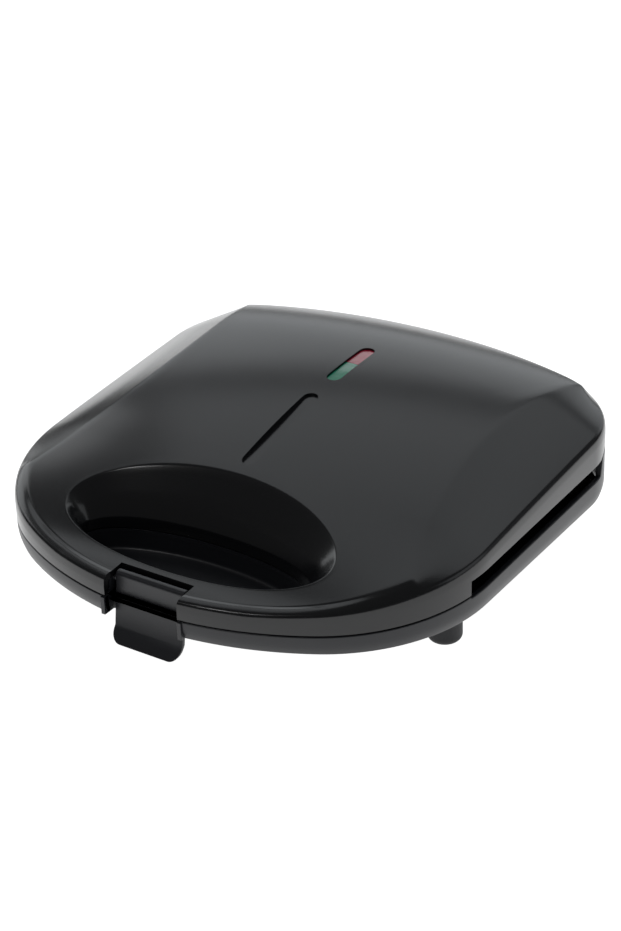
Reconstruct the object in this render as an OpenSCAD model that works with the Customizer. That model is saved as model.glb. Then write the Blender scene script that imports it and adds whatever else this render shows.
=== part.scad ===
/* [Housing] */
// Width across the lid and the base
body_w = 230; // [222:1:244]
// Depth of the lid and the base, without latch and hinge
body_d = 234; // [230:1:250]
// Height of the parting line above the table, at the front
parting_z = 23.4; // [23:0.2:25]
// Rise of the parting line from the front to the side slots, mm per mm
part_rise = 0.03; // [0:0.005:0.035]
// Lower edge of the band round the base
band_bottom = 14.7; // [13:0.1:16]
// Wall of the mouldings
wall = 2.5; // [2:0.1:3]
// Gap between lid and base at the front
parting_gap = 0.6; // [0.4:0.1:1]
// Radius of the front edge seen from above
front_r = 157.5; // [150:0.5:175]
// Radius of the front corners seen from above
front_corner_r = 77.5; // [70:0.5:85]
// Radius of the rear edge seen from above
rear_r = 305; // [280:1:360]
// Radius of the rear corners seen from above
rear_corner_r = 42; // [36:1:50]

/* [Lid] */
// Highest point of the lid above the table
top_z = 67; // [65:0.5:72]
// Distance of the highest point behind the front edge
peak_d = 179; // [170:1:190]
// Radius of the lid's spine in front of its highest point
spine_r = 395; // [380:5:450]
// Radius of the lid's spine behind its highest point
spine_rear_r = 145; // [135:5:200]
// Radius of the crown from side to side
cross_r = 714; // [650:10:900]
// Height of the lid's upper front edge
rim_front_z = 32.1; // [31.5:0.1:33]
// Quick rise of the rim behind the front corners
rim_lift = 4.3; // [3:0.1:5]
// Steady rise of the rim towards the rear, mm per mm
rim_slope = 0.066; // [0.055:0.001:0.075]
// Half the distance between the side creases where they are closest
crease_x = 83; // [80:0.5:86]
// Distance of that place behind the front edge
crease_d = 145; // [135:1:155]
// Spread of the creases towards the front
crease_spread = 520; // [450:10:650]

/* [Finger opening] */
// Distance of its centre behind the front edge
finger_d = 41.6; // [40:0.2:43]
// Half length at the lid's surface
finger_a = 65.5; // [60:0.5:68]
// Half width at the lid's surface
finger_b = 26.1; // [24:0.1:26.6]
// Bow of its long axis towards the rear
finger_bow = 2.8; // [0:0.1:4]
// Half length at the parting line
well_a = 58; // [54:0.5:60]
// Half width at the parting line
well_b = 20.2; // [18:0.1:21]
// Height of the ledge where the sloping wall turns upright
ledge_z = 28.5; // [27.5:0.1:30]
// Floor of the recess in the base
well_floor_z = 13; // [12:0.2:14]

/* [Side slots and rear corners] */
// Distance of the slots' front ends behind the front edge
slot_d = 74; // [70:0.5:76]
// Lower edge of the lid above the slots
slot_top = 32.6; // [32:0.1:33.4]
// Top of the base's side walls
slot_low = 24.6; // [24:0.1:25.4]
// Distance of the raised rear corners behind the front edge
post_d = 189; // [186:0.5:194]
// Top of the raised rear corners
post_z = 35.6; // [35:0.1:36.2]
// Lower edge of the lid over the rear corners
lid_rear_low = 39; // [38.4:0.1:39.6]

/* [Plates] */
// Width of the cooking plates
plate_w = 204; // [196:1:206]
// Depth of the cooking plates
plate_d = 140; // [130:1:142]
// Distance of the plates behind the front edge
plate_front_d = 73; // [72.4:0.1:75]
// Corner radius of the plates
plate_r = 14; // [10:1:16]
// Thickness of the plates
plate_t = 2.5; // [2:0.1:3]
// Depth of the sandwich pockets
pocket_h = 10; // [8:0.5:10.5]
// Height of the plane where the plates meet
meet_z = 28; // [27.8:0.1:28.4]
// Gap between the closed plates
meet_gap = 0.4; // [0.3:0.1:0.8]
// Diameter of the heating elements
heater_dia = 6.4; // [5.6:0.1:6.6]

/* [Feet and cord outlet] */
// Diameter of the feet
foot_dia = 15; // [13:0.5:16]
// Distance of the front feet from the centre plane
foot_x = 100; // [97:0.5:101]
// Distance of the rear feet from the centre plane
foot_rear_x = 88; // [80:0.5:92]
// Distance of the front feet behind the front edge
foot_front_d = 76; // [72:1:84]
// Distance of the rear feet in front of the rear edge
foot_rear_d = 46; // [42:1:52]
// Underside of the bottom cover
pan_z = 4.5; // [4:0.1:5.2]
// Diameter of the mains cord's hole
cord_hole = 7.2; // [6:0.1:7.6]

/* [Hinge] */
// Distance of the hinge axis behind the rear wall
hinge_back = 6; // [5.6:0.1:7]
// Height of the hinge axis
hinge_z = 37.5; // [37:0.1:38]
// Radius of the knuckles
knuckle_r = 4.6; // [4:0.1:4.9]
// Radius of the hinge pins
hinge_pin_r = 2; // [1.5:0.1:2.4]
// Distance of each hinge from the centre plane
hinge_x = 60; // [50:1:66]
// Width of the lid's knuckles
lid_knuckle_w = 10; // [8:1:14]
// Width of the base's knuckles
base_knuckle_w = 5.5; // [4:0.5:7]
// Radial clearance of pins in their bores
pin_fit = 0.05; // [0.02:0.01:0.1]

/* [Latch] */
// Width of the clip
clip_w = 35; // [30:0.5:36]
// Thickness of the clip
clip_t = 2; // [1.6:0.1:2.4]
// Gap at each side of the clip in its notch
clip_gap = 1.2; // [0.8:0.1:1.6]
// How far the clip's face leans forward from the pin down to the fold
clip_lean = 3; // [2:0.5:3.5]
// Distance of the latch pin behind the front edge
latch_d = 10.1; // [9.8:0.1:10.2]
// Height of the latch pin
latch_z = 28; // [27.9:0.1:28.1]
// Top of the clip
clip_top = 32.4; // [32:0.1:32.5]
// Radius of the latch pin
latch_pin_r = 1.2; // [1:0.1:1.2]
// Height of the fold between face and finger tab
fold_z = 8.4; // [8.2:0.2:9.4]
// Reach of the finger tab in front of the face
tab_reach = 4.6; // [3:0.2:4.6]
// Height of the finger tab
tab_h = 6.4; // [5.6:0.2:6.6]

/* [Window] */
// Width of the lamp window and the groove
window_w = 7.4; // [6.6:0.1:8]
// Front end of the lamp window behind the front edge
window_d = 146; // [144:0.5:150]
// Length of the lamp window
window_l = 34.6; // [30:0.2:36]
// Front end of the groove behind the front edge
groove_d = 78.6; // [77:0.2:84]
// Length of the groove
groove_l = 54.6; // [45:0.2:56]
// Depth of the groove
groove_h = 1.2; // [0.8:0.1:1.5]

/* [Hidden] */

// Clearance between mouldings of one half
seat = 0.3;
// Rise of both slot edges from their front end to the rear corners
slot_rise = 2;
// Inset of the lid's upper edge and of the band's lower edge
draft = 1.3;
// Ends of the object in front of and behind the housings, which centre it on the origin
eye_r = latch_pin_r + 1.3;
clip_in = latch_d - eye_r;
front_reach = max(0, tab_reach + clip_lean - clip_in);
rear_reach = hinge_back + knuckle_r;
y_front = -body_d / 2 + (front_reach - rear_reach) / 2;
y_rear = y_front + body_d;
function at(d) = y_front + d;

lid_low_z = parting_z + parting_gap / 2;
base_top_z = parting_z - parting_gap / 2;
slot_y = at(slot_d);
post_y = at(post_d);
post_ramp = 3;
lid_ramp = 11;

// Plan outline: arcs about four centres, as stations [centre x, centre y, radius, angle]
c_front = [0, y_front + front_r];
c_fc_x = body_w / 2 - front_corner_r;
c_fc = [c_fc_x, c_front[1] - sqrt(pow(front_r - front_corner_r, 2) - pow(c_fc_x, 2))];
c_rear = [0, y_rear - rear_r];
c_rc_x = body_w / 2 - rear_corner_r;
c_rc = [c_rc_x, c_rear[1] + sqrt(pow(rear_r - rear_corner_r, 2) - pow(c_rc_x, 2))];
a_front = atan2(c_fc[1] - c_front[1], c_fc[0]);
a_rear = atan2(c_rc[1] - c_rear[1], c_rc[0]);
a_slot = asin((slot_y - c_fc[1]) / front_corner_r);
a_notch = -90 + asin((clip_w / 2 + clip_gap) / front_r);

function arc_stations(c, r, a0, a1, n) = [for (i = [0:n - 1]) [c[0], c[1], r, a0 + (a1 - a0) * i / n]];
function side_stations(y0, y1, n) = [for (i = [0:n - 1]) [c_fc[0], y0 + (y1 - y0) * i / n, front_corner_r, 0]];
step_a = 0.15;
a_post = asin((post_y - c_rc[1]) / rear_corner_r);
a_post_end = asin((post_y + post_ramp - c_rc[1]) / rear_corner_r);
a_ramp_end = asin((post_y + lid_ramp - c_rc[1]) / rear_corner_r);
half_stations = concat(
    arc_stations(c_front, front_r, -90, a_front, 6),
    arc_stations(c_fc, front_corner_r, a_front, a_slot - step_a, 7),
    [[c_fc[0], c_fc[1], front_corner_r, a_slot - step_a]],
    arc_stations(c_fc, front_corner_r, a_slot, 0, 2),
    side_stations(c_fc[1], c_rc[1], 5),
    arc_stations(c_rc, rear_corner_r, 0, a_post, 1),
    arc_stations(c_rc, rear_corner_r, a_post, a_post_end, 1),
    arc_stations(c_rc, rear_corner_r, a_post_end, a_ramp_end, 1),
    arc_stations(c_rc, rear_corner_r, a_ramp_end, a_rear, 5),
    arc_stations(c_rear, rear_r, a_rear, 90, 4),
    [[c_rear[0], c_rear[1], rear_r, 90]]);
n_half = len(half_stations);
// Closed loop of [station, side], counter-clockwise from the front centre
loop = concat([for (i = [0:n_half - 1]) [half_stations[i], 1]],
              [for (i = [n_half - 2:-1:1]) [half_stations[i], -1]]);
n_loop = len(loop);
function plan(s, inset) = [s[1] * (s[0][0] + (s[0][2] - inset) * cos(s[0][3])),
                           s[0][1] + (s[0][2] - inset) * sin(s[0][3])];
function outline(inset) = [for (s = loop) plan(s, inset)];

// Lid surface
function arc_drop(r, d) = r - sqrt(r * r - d * d);
function smooth(a, b, x) = let (t = min(max((x - a) / (b - a), 0), 1)) t * t * (3 - 2 * t);
function spine(y) = top_z - arc_drop(y < at(peak_d) ? spine_r : spine_rear_r, y - at(peak_d));
function crown_share(y) = 0.3 + 0.7 * smooth(at(15), at(80), y);
function soft_max(a, b, k) = (a + b + sqrt((a - b) * (a - b) + k * k)) / 2;
function lid_top(x, y) = soft_max(spine(y) - arc_drop(cross_r, x) * crown_share(y), rim_front_z + 0.2, 3);
rim_start = 9;
rim_reach = 43;
function rim_z(y) = let (d = max(y - at(rim_start), 0))
    rim_front_z + rim_slope * d + rim_lift * (1 - exp(-d / rim_reach));
function crease(y) = crease_x + pow(y - at(crease_d), 2) / crease_spread;
// Band between the rim and the edge of the crown, where no side facet is
edge_band = 6;
function crease_pt(s) = let (p = plan(s, edge_band)) [s[1] * min(abs(p[0]), crease(p[1])), p[1]];

// Lower edges of lid and base along the outline
function slot_share(y) = (y - slot_y) / (post_y - slot_y);
function lid_low(y) = y < slot_y - 0.05 ? lid_low_z + part_rise * (y - y_front)
    : y <= post_y ? slot_top + slot_rise * slot_share(y)
    : min(lid_rear_low, slot_top + slot_rise
          + (lid_rear_low - slot_top - slot_rise) * (y - post_y) / lid_ramp);
function base_high(y) = y < slot_y - 0.05 ? base_top_z + part_rise * (y - y_front)
    : y <= post_y ? slot_low + slot_rise * slot_share(y)
    : min(post_z, slot_low + slot_rise + (post_z - slot_low - slot_rise) * (y - post_y) / post_ramp);

// Ellipse points that match the outline's stations, seen from the middle of the finger opening
finger_y = at(finger_d);
function well_pt(s, a, b, grow) = let (
    p = plan(s, edge_band),
    q = atan2((p[1] - finger_y) / b, p[0] / a),
    x = (a + grow) * cos(q))
    [x, finger_y - (finger_b - b) * 0.6 + (b + grow) * sin(q)
        + finger_bow * (b == finger_b ? 1 - pow(x / (a + grow), 2) : 0)];
function finger_pt(s, grow) = well_pt(s, finger_a, finger_b, grow);
function mix(p, q, t) = p * (1 - t) + q * t;
function lift(p, z) = [p[0], p[1], z];
function on_lid(p, drop) = [p[0], p[1], lid_top(p[0], p[1]) - drop];

// Points of the lid's closed cross-section at one station, from the well's lower edge outward
lip = 1.5;
function lid_section(s) = let (
    c = crease_pt(s),
    f = finger_pt(s, 0),
    fo = finger_pt(s, lip),
    e = plan(s, draft),
    b = plan(s, 0),
    ci = [c[0], c[1]] * 0.985,
    rz = rim_z(e[1]),
    cz = lid_top(c[0], c[1]),
    low = lid_low(b[1]),
    w = well_pt(s, well_a, well_b, 0),
    wi = plan(s, wall))
    [lift(w, lid_low_z),
     lift(w, ledge_z),
     lift(mix(w, f, 0.42), mix(ledge_z, lid_top(f[0], f[1]), 0.48)),
     on_lid(f, lip),
     on_lid(fo, 0),
     on_lid(mix(fo, c, 0.2), 0),
     on_lid(mix(fo, c, 0.4), 0),
     on_lid(mix(fo, c, 0.6), 0),
     on_lid(mix(fo, c, 0.8), 0),
     lift(c, cz - 0.3),
     lift(mix(c, e, 0.5), mix(cz, rz, 0.5) + 0.3),
     lift(mix(c, e, 0.92), mix(cz, rz, 0.92) + 0.2),
     lift(plan(s, draft * 0.5), rz - 1.2),
     lift(b, max(low + 0.2, rz - 4)),
     lift(b, low),
     lift(wi, low),
     lift(plan(s, wall + 0.4), max(low + 0.3, rz - 3.2)),
     lift(mix(c, e, 0.5), mix(cz, rz, 0.5) + 0.3 - wall * 1.1),
     lift(ci, lid_top(ci[0], ci[1]) - wall - 0.3),
     on_lid(mix(fo, c, 0.8), wall),
     on_lid(mix(fo, c, 0.5), wall),
     on_lid(mix(fo, c, 0.25), wall),
     on_lid(finger_pt(s, wall), wall + 0.4),
     lift(mix(well_pt(s, well_a, well_b, wall), finger_pt(s, wall), 0.42),
          mix(ledge_z, lid_top(f[0], f[1]), 0.48)),
     lift(well_pt(s, well_a, well_b, wall), ledge_z),
     lift(well_pt(s, well_a, well_b, wall), lid_low_z)];

function reverse(list) = [for (i = [len(list) - 1:-1:0]) list[i]];

// Closed ring solid from one closed cross-section for each station
module ring_solid(sections) {
    n = len(sections);
    m = len(sections[0]);
    polyhedron(points = [for (s = sections) each s],
               faces = [for (i = [0:n - 1]) for (j = [0:m - 1]) let (
                   a = i * m + j, b = i * m + (j + 1) % m,
                   c = ((i + 1) % n) * m + (j + 1) % m, d = ((i + 1) % n) * m + j)
                   each [[a, b, c], [a, c, d]]],
               convexity = 8);
}

// Solid between stacked closed loops of points, with flat ends
module stack_solid(rings) {
    n = len(rings);
    m = len(rings[0]);
    polyhedron(points = [for (r = rings) each r],
               faces = concat(
                   [[for (j = [0:m - 1]) j]],
                   [[for (j = [m - 1:-1:0]) (n - 1) * m + j]],
                   [for (i = [0:n - 2]) for (j = [0:m - 1]) let (
                       a = i * m + j, b = i * m + (j + 1) % m, c = a + m, d = b + m)
                       each [[a, c, d], [a, d, b]]]),
               convexity = 6);
}

plastic = [0.09, 0.09, 0.1];
steel = [0.72, 0.73, 0.75];
coating = [0.16, 0.16, 0.17];

module rounded_plate(w, d, r, h) {
    linear_extrude(h) difference() {
        square([w, d], center = true);
        for (sx = [-1, 1], sy = [-1, 1])
            translate([sx * w / 2, sy * d / 2]) difference() {
                square(2 * r, center = true);
                translate([-sx * r, -sy * r]) circle(r, $fn = 32);
            }
    }
}
module bar_x(r, x0, x1) {
    translate([x0, 0, 0]) rotate([0, 90, 0]) cylinder(r = r, h = x1 - x0, $fn = 40);
}
module stadium(w, l) {
    translate([-w / 2, w / 2]) square([w, l - w]);
    translate([0, w / 2]) circle(d = w, $fn = 32);
    translate([0, l - w / 2]) circle(d = w, $fn = 32);
}

plate_y = at(plate_front_d) + plate_d / 2;
stud_x = plate_w / 2 - 5.5;
stud_y = plate_d / 2 - 5.5;
stud_r = 3.5;
body_inset = 7;
body_w0 = plate_w - 2 * body_inset;
body_d0 = plate_d - 2 * body_inset;
body_r = 22;
deck_t = 2.2;
base_deck_z = parting_z - 0.3 - deck_t;
lid_deck_z = post_z - 0.6;
screw_r = 1.45;
pilot_r = 1.5;
hole_r = 2.1;
contact = 0.05;
head_r = 3;
head_h = 1.8;
lower_rim_z = meet_z - meet_gap / 2;
upper_rim_z = meet_z + meet_gap / 2;
pocket_floor = lower_rim_z - pocket_h;
lower_under = pocket_floor - plate_t;
upper_over = upper_rim_z + pocket_h + plate_t;

module at_studs() {
    for (sx = [-1, 1], sy = [-1, 1])
        translate([sx * stud_x, plate_y + sy * stud_y, 0]) children();
}

// Plate body seen from its rim, as a tapered tray that the pockets are cut into
function rounded_loop(w, d, r, z) = [for (q = [[1, -1, -90], [1, 1, 0], [-1, 1, 90], [-1, -1, 180]])
    for (k = [0:4]) let (a = q[2] + k * 22.5)
    [q[0] * (w / 2 - r) + r * cos(a), plate_y + q[1] * (d / 2 - r) + r * sin(a), z]];

// Triangular pocket outline with rounded corners, shrunk by inset
ridge = 7;
pocket_w = plate_w - 2 * body_inset - 2;
pocket_d = plate_d - 2 * body_inset - 2;
function unit(v) = v / norm(v);
function round_corner(p, a, b, r) = let (
    u = unit(a - p), v = unit(b - p),
    half = acos(u * v) / 2,
    c = p + unit(u + v) * r / sin(half),
    q0 = p + u * r / tan(half) - c,
    q1 = p + v * r / tan(half) - c)
    [for (k = [0:3]) c + unit(mix(q0, q1, k / 3)) * r];
function inner_tri(t, d) = [for (i = [0:2]) let (
    p = t[i], u = unit(t[(i + 1) % 3] - p), v = unit(t[(i + 2) % 3] - p),
    s = sin(acos(u * v)))
    p + (u + v) * d / s];
function pocket_loop(t, inset, r, z) = let (q = inner_tri(t, inset)) [for (i = [0:2])
    each [for (p = round_corner(q[i], q[(i + 2) % 3], q[(i + 1) % 3], r)) lift(p, z)]];
// The four triangles: two square cells, each parted by a diagonal ridge that meets at the rear centre
function cell_tris(side) = let (
    x0 = ridge / 2, x1 = pocket_w / 2, y0 = -pocket_d / 2, y1 = pocket_d / 2)
    [[[x0, y0], [x1, y0], [x0, y1]], [[x1, y1], [x0, y1], [x1, y0]]];
function shifted(t) = [for (p = t) [p[0], p[1] + plate_y]];

module pockets(rim, floor_level) {
    up = floor_level < rim ? 1 : -1;
    for (t = cell_tris(1), m = [0, 1]) mirror([m, 0, 0]) {
        tri = inner_tri(shifted(t), 0.8);
        low = pocket_loop(tri, 7, 5, floor_level);
        mid = pocket_loop(tri, 5.4, 6, floor_level + up * 1.2);
        top = pocket_loop(tri, 0.2, 8, rim + up * 0.5);
        stack_solid(up > 0 ? [low, mid, top] : [top, mid, low]);
    }
}

module lower_plate() {
    color(coating) difference() {
        union() {
            translate([0, plate_y, lower_rim_z - plate_t]) rounded_plate(plate_w, plate_d, plate_r, plate_t);
            stack_solid([rounded_loop(body_w0 - 8, body_d0 - 8, body_r - 4, lower_under),
                         rounded_loop(body_w0, body_d0, body_r, lower_rim_z - 1)]);
            at_studs() translate([0, 0, base_deck_z + deck_t + contact])
                cylinder(r = stud_r, h = lower_rim_z - 1 - base_deck_z - deck_t - contact, $fn = 32);
        }
        pockets(lower_rim_z, pocket_floor);
        at_studs() translate([0, 0, base_deck_z])
            cylinder(r = pilot_r, h = lower_rim_z - 0.9 - base_deck_z, $fn = 24);
    }
}

module upper_plate() {
    color(coating) difference() {
        union() {
            translate([0, plate_y, upper_rim_z]) rounded_plate(plate_w, plate_d, plate_r, plate_t);
            stack_solid([rounded_loop(body_w0, body_d0, body_r, upper_rim_z + 1),
                         rounded_loop(body_w0 - 8, body_d0 - 8, body_r - 4, upper_over)]);
            at_studs() translate([0, 0, upper_rim_z + 1])
                cylinder(r = stud_r, h = lid_deck_z - upper_rim_z - 1 - contact, $fn = 32);
        }
        pockets(upper_rim_z, upper_rim_z + pocket_h);
        at_studs() translate([0, 0, upper_rim_z + 0.9])
            cylinder(r = pilot_r, h = lid_deck_z - upper_rim_z, $fn = 24);
    }
}

// Tubular element: two legs along x, joined by a bend at the left, with short terminals bent to the rear
heater_gap = 0.1;
heater_r = heater_dia / 2;
lower_heater_z = lower_under - heater_gap - heater_r;
upper_heater_z = upper_over + heater_gap + heater_r;
leg_y = 34;
leg_x = 52;
module heater(z) {
    translate([0, plate_y, z]) {
        for (s = [-1, 1]) translate([-leg_x, s * leg_y, 0]) rotate([0, 90, 0])
            cylinder(r = heater_r, h = 2 * leg_x - 12, $fn = 32);
        translate([-leg_x, 0, 0]) rotate([0, 0, 90]) rotate_extrude(angle = 180, $fn = 96)
            translate([leg_y, 0]) circle(heater_r, $fn = 32);
        for (s = [-1, 1]) translate([leg_x - 12, s * (leg_y - 12), 0]) {
            rotate([0, 0, s > 0 ? 0 : -90]) rotate_extrude(angle = 90, $fn = 96)
                translate([12, 0]) circle(heater_r, $fn = 32);
            translate([12, 0, 0]) rotate([s * 90, 0, 0]) cylinder(r = heater_r, h = 8, $fn = 32);
        }
    }
}

// Pressed strips across the element's legs
clamp_t = 0.8;
clamp_w = 14;
module heater_clamp(z) {
    for (x = [-36, 24]) translate([x, plate_y, z])
        difference() {
            translate([-clamp_w / 2, -leg_y - 9, 0]) cube([clamp_w, 2 * leg_y + 18, clamp_t]);
            for (s = [-1, 0, 1]) translate([0, s * (leg_y - 12), -1]) cylinder(r = 1.8, h = clamp_t + 2, $fn = 24);
        }
}

// Shallow sheet tray with an upturned rim
tray_t = 0.5;
tray_w = 150;
tray_d = 112;
tray_rim = 1.6;
module reflector(z, up) {
    translate([0, plate_y, z]) mirror([0, 0, up > 0 ? 0 : 1]) difference() {
        rounded_plate(tray_w, tray_d, 8, tray_rim);
        translate([0, 0, tray_t]) rounded_plate(tray_w - 2 * tray_t, tray_d - 2 * tray_t, 7.5, tray_rim);
        for (x = [-60, 60]) translate([x, 0, -1]) cylinder(r = 2.2, h = tray_t + 2, $fn = 24);
    }
}
lower_clamp_z = lower_heater_z - heater_r - heater_gap - clamp_t;
upper_clamp_z = upper_heater_z + heater_r + heater_gap;
lower_tray_z = lower_clamp_z - 0.9;
upper_tray_z = upper_clamp_z + clamp_t + 0.9;

module lower_heater() { color(steel) heater(lower_heater_z); }
module upper_heater() { color(steel) heater(upper_heater_z); }
module lower_heater_clamp() { color(steel) heater_clamp(lower_clamp_z); }
module upper_heater_clamp() { color(steel) heater_clamp(upper_clamp_z); }
module lower_reflector() { color(steel) reflector(lower_tray_z, 1); }
module upper_reflector() { color(steel) reflector(upper_tray_z, -1); }

// Screw with its head's underside at the origin, pointing up
module screw(l) {
    translate([0, 0, -0.5]) cylinder(r = screw_r, h = l + 0.5, $fn = 24);
    difference() {
        translate([0, 0, -head_h]) cylinder(r = head_r, h = head_h - contact, $fn = 32);
        for (a = [0, 90]) rotate([0, 0, a]) translate([-0.5, -2, -head_h - 0.1]) cube([1, 4, 1]);
    }
}
module lower_plate_screws() {
    color(steel) at_studs() translate([0, 0, base_deck_z]) screw(lower_rim_z - 1.2 - base_deck_z);
}
module upper_plate_screws() {
    color(steel) at_studs() translate([0, 0, lid_deck_z + deck_t]) mirror([0, 0, 1])
        screw(lid_deck_z + deck_t - upper_rim_z - 1.2);
}

// Knuckle round a pin with an arm to the wall, drawn in the y-z plane and extruded along x
function tangent(c, r, p, side) = let (v = p - c, a = atan2(v[1], v[0]) + side * acos(r / norm(v)))
    c + r * [cos(a), sin(a)];
module knuckle(x0, x1, foot_low, foot_high) {
    c = [y_rear + hinge_back, hinge_z];
    translate([x0, 0, 0]) rotate([90, 0, 90]) linear_extrude(x1 - x0) {
        translate(c) circle(knuckle_r, $fn = 48);
        polygon([foot_low, foot_high, tangent(c, knuckle_r, foot_high, -1), c,
                 tangent(c, knuckle_r, foot_low, 1)]);
    }
}
module pin_bores() {
    translate([0, y_rear + hinge_back, hinge_z]) bar_x(hinge_pin_r + pin_fit, -body_w / 2, body_w / 2);
}
knuckle_gap = 0.4;
function rear_wall(x) = c_rear[1] + sqrt(rear_r * rear_r - x * x);
wall_y = rear_wall(hinge_x + lid_knuckle_w / 2 + base_knuckle_w) - wall + 0.6;

module base_knuckles() {
    for (m = [0, 1]) mirror([m, 0, 0])
        for (x = [hinge_x - lid_knuckle_w / 2 - knuckle_gap - base_knuckle_w, hinge_x + lid_knuckle_w / 2 + knuckle_gap])
            knuckle(x, x + base_knuckle_w, [wall_y, hinge_z - 20], [wall_y, hinge_z - 7]);
}
module lid_knuckles() {
    for (m = [0, 1]) mirror([m, 0, 0])
        knuckle(hinge_x - lid_knuckle_w / 2, hinge_x + lid_knuckle_w / 2,
                [wall_y, lid_rear_low + 0.6], [wall_y, lid_rear_low + 9]);
}

// Outline of the well's outside, with its wall, at the parting line
well_y = finger_y - (finger_b - well_b) * 0.6;
module well_shape(grow) {
    polygon([for (k = [0:63]) [(well_a + grow) * cos(k * 360 / 64), well_y + (well_b + grow) * sin(k * 360 / 64)]]);
}
module plate_hole(grow) {
    translate([0, plate_y, 0]) rounded_plate(body_w0 + 2 * grow, body_d0 + 2 * grow, body_r + grow, 10);
}

// Bosses that join the two mouldings of each half, as [x, y] on one side
base_bosses = [[84, at(50)], [84, at(208)]];
lid_bosses = [[82, at(56)], [78, at(212)]];
module at_bosses(list) {
    for (p = list, m = [-1, 1]) translate([m * p[0], p[1], 0]) children();
}
boss_r = 3.4;
front_deck_t = 2;
cup_h = 4.2;
lid_boss_feet = [[lid_bosses[0][0], lid_bosses[0][1], lid_low_z + cup_h],
                 [lid_bosses[1][0], lid_bosses[1][1], lid_deck_z + deck_t]];
notch_w = clip_w + 2 * clip_gap;
notch_back = 13.8;
catch_w = 28;
catch_z = 19;
catch_reach = 1.4;
hook_reach = 1.7;
// Distance of the clip's face behind the front edge at height z
function face_d(z) = clip_in - clip_lean * (latch_z - z) / (latch_z - fold_z);
notch_in = face_d(catch_z) + clip_t + hook_reach + seat + catch_reach;
notch_wall = 2.3;
band_in = draft + 1.5;
pan_inset = band_in + seat;
pan_rim_z = band_bottom + 0.6;
pan_top_z = pan_rim_z + 0.8;
boss_foot_z = pan_rim_z - 4;
flat_inset = 24;

function band_section(s) = let (
    o = plan(s, 0), i = plan(s, wall), d = plan(s, draft), di = plan(s, band_in),
    top = base_high(o[1]))
    [lift(di, band_bottom), lift(d, band_bottom), lift(o, band_bottom + 4), lift(o, top - 0.6),
     lift(plan(s, 0.5), top), lift(i, top), lift(i, band_bottom + 5)];

// Walls behind and beside the clip, down to the outside of the bottom cover
module notch_walls() {
    intersection() {
        translate([-notch_w / 2 - notch_wall, y_front, pan_z])
            cube([notch_w + 2 * notch_wall, notch_in + notch_wall, base_top_z - pan_z]);
        union() {
            pan_outside(base_top_z);
            translate([0, 0, pan_top_z + seat]) linear_extrude(20) polygon(outline(wall / 2));
        }
    }
}
// Eight-sided hole that keeps the bushing from turning
module keyed_hole() {
    r = (neck_r + 0.1) / cos(22.5);
    polygon([for (k = [0:7]) [r * cos(22.5 + k * 45), r * sin(22.5 + k * 45)]]);
}

module base_housing() {
    color(plastic) difference() {
        union() {
            ring_solid([for (s = loop) band_section(s)]);
            translate([0, 0, base_deck_z]) linear_extrude(deck_t) difference() {
                polygon(outline(wall / 2));
                well_shape(wall / 2);
                translate([-26, at(plate_front_d) + plate_d + 1]) square([52, 40]);
            }
            translate([0, 0, well_floor_z - 2]) linear_extrude(base_top_z - well_floor_z + 2) well_shape(wall);
            at_bosses(base_bosses) translate([0, 0, boss_foot_z + contact])
                cylinder(r = boss_r, h = base_deck_z - boss_foot_z + 1, $fn = 32);
            base_knuckles();
            notch_walls();
        }
        translate([0, 0, well_floor_z]) linear_extrude(20) well_shape(0);
        translate([0, 0, base_deck_z - 5]) plate_hole(1);
        at_studs() translate([0, 0, base_deck_z - 1]) cylinder(r = hole_r, h = deck_t + 2, $fn = 24);
        at_bosses(base_bosses) translate([0, 0, boss_foot_z - 1]) cylinder(r = pilot_r, h = 8, $fn = 24);
        pin_bores();
        translate([-notch_w / 2, y_front - 1, 0]) cube([notch_w, notch_in + 1, parting_z]);
        translate([0, y_rear - 8, bushing_z]) rotate([-90, 0, 0]) linear_extrude(12) keyed_hole();
    }
    color(plastic) translate([-catch_w / 2, y_front + notch_in - catch_reach, catch_z])
        cube([catch_w, catch_reach + 0.5, 1.4]);
}

bushing_z = 22.4;
neck_r = 4.9;
flange_r = 5.9;
flange_t = 1.8;
bushing_out = 8;
module cord_bushing() {
    color(plastic) translate([0, 0, bushing_z]) rotate([-90, 0, 0]) translate([0, 0, 0]) difference() {
        union() {
            translate([0, 0, y_rear + 0.2]) cylinder(r = flange_r, h = flange_t, $fn = 48);
            translate([0, 0, y_rear - wall - 1.8]) cylinder(r = neck_r, h = bushing_out + wall + 1.8, $fn = 48);
            translate([0, 0, y_rear - wall - 0.4 - 1.6]) cylinder(r = flange_r, h = 1.6, $fn = 48);
        }
        translate([0, 0, y_rear - 20]) cylinder(d = cord_hole, h = 40, $fn = 48);
    }
}

foot_top = 12;
function pan_loop(q) = [for (s = loop) lift(plan(s, q[0]), q[1])];
pan_t = 2;
pan_slope = (band_bottom - 0.6 - pan_z) / (flat_inset - pan_inset - 1);
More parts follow.
